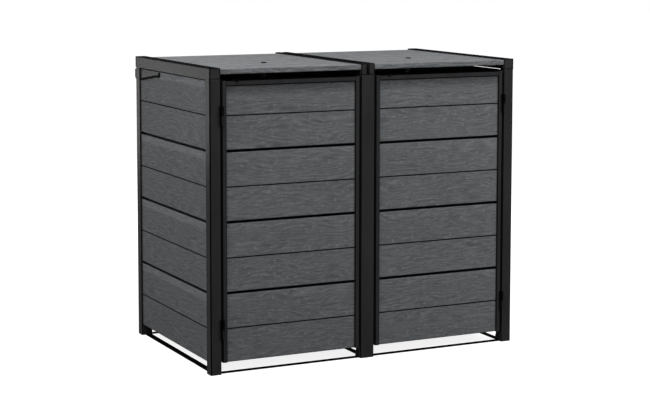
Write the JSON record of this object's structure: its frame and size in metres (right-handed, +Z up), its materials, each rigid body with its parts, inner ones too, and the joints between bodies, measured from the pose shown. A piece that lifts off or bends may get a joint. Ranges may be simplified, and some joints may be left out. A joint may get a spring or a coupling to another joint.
{
  "type": "wheelie bin store",
  "caption": "Slatted garden store for wheelie bins: black metal frame, grey wood-grain composite boards, rear-hinged lift-up lids and outward-opening front doors.",
  "frame": {"origin": "middle of the store's base, on the ground", "axes": "+X to the right as one faces the doors, +Y from the doors to the rear wall, +Z up"},
  "size_m": [1.376, 0.8534, 1.2],
  "materials": {
    "black_aluminium": "satin black powder coat",
    "black_steel": "satin black powder coat",
    "composite_board": "matt grey wood-plastic composite with embossed grain",
    "black_plastic": "matt moulded",
    "black_rubber": "matt",
    "zinc_steel": "zinc plated",
    "magnet_housing": "matt moulded"
  },
  "bodies": {
    "frame": {"door_hinge_lower_barrels": "black_steel", "door_hinge_pins": "black_steel", "door_magnets": "magnet_housing", "door_stop_plates": "black_steel", "front_left_post": "black_aluminium", "front_middle_post": "black_aluminium", "front_right_post": "black_aluminium", "front_thresholds": "black_steel", "left_bottom_rail": "black_aluminium", "left_lid_bracket": "black_steel", "left_top_rail": "black_aluminium", "left_wall_boards": "composite_board", "lid_hinge_pins": "black_steel", "middle_bottom_rail": "black_aluminium", "middle_lid_bracket": "black_steel", "middle_top_rail": "black_aluminium", "post_caps": "black_plastic", "post_feet": "black_plastic", "rear_bottom_bars": "black_steel", "rear_left_boards": "composite_board", "rear_left_post": "black_aluminium", "rear_middle_post": "black_aluminium", "rear_right_boards": "composite_board", "rear_right_post": "black_aluminium", "rear_top_rails": "black_aluminium", "right_bottom_rail": "black_aluminium", "right_lid_bracket": "black_steel", "right_top_rail": "black_aluminium", "right_wall_boards": "composite_board"},
    "left_lid": {"left_lid_boards": "composite_board", "left_lid_eye_bolt": "zinc_steel", "left_lid_hinge_arms": "black_steel", "left_lid_inner_rail": "black_aluminium", "left_lid_outer_rail": "black_aluminium", "left_lid_rail_caps": "black_plastic", "left_lid_rest_pads": "black_rubber", "left_lid_stiffener": "black_steel"},
    "right_lid": {"right_lid_boards": "composite_board", "right_lid_eye_bolt": "zinc_steel", "right_lid_hinge_arms": "black_steel", "right_lid_inner_rail": "black_aluminium", "right_lid_outer_rail": "black_aluminium", "right_lid_rail_caps": "black_plastic", "right_lid_rest_pads": "black_rubber", "right_lid_stiffener": "black_steel"},
    "left_door": {"left_door_boards": "composite_board", "left_door_bottom_bar": "black_steel", "left_door_buffer": "black_rubber", "left_door_free_stile": "black_aluminium", "left_door_hinge_barrels": "black_steel", "left_door_hinge_stile": "black_aluminium", "left_door_top_rail": "black_aluminium"},
    "right_door": {"right_door_boards": "composite_board", "right_door_bottom_bar": "black_steel", "right_door_buffer": "black_rubber", "right_door_free_stile": "black_aluminium", "right_door_hinge_barrels": "black_steel", "right_door_hinge_stile": "black_aluminium", "right_door_top_rail": "black_aluminium"}
  },
  "joints": [
    {"name": "left_lid_hinge", "type": "hinge", "parent": "frame", "child": "left_lid", "pos_m": [-0.3375, 0.42075, 1.127], "axis": [-1, 0, 0], "range_deg": [0, 95]},
    {"name": "right_lid_hinge", "type": "hinge", "parent": "frame", "child": "right_lid", "pos_m": [0.3375, 0.42075, 1.127], "axis": [-1, 0, 0], "range_deg": [0, 95]},
    {"name": "left_door_hinge", "type": "hinge", "parent": "frame", "child": "left_door", "pos_m": [-0.6365, -0.41825, 0.598], "axis": [0, 0, -1], "range_deg": [0, 170]},
    {"name": "right_door_hinge", "type": "hinge", "parent": "frame", "child": "right_door", "pos_m": [0.6365, -0.41825, 0.598], "axis": [0, 0, 1], "range_deg": [0, 170]}
  ]
}
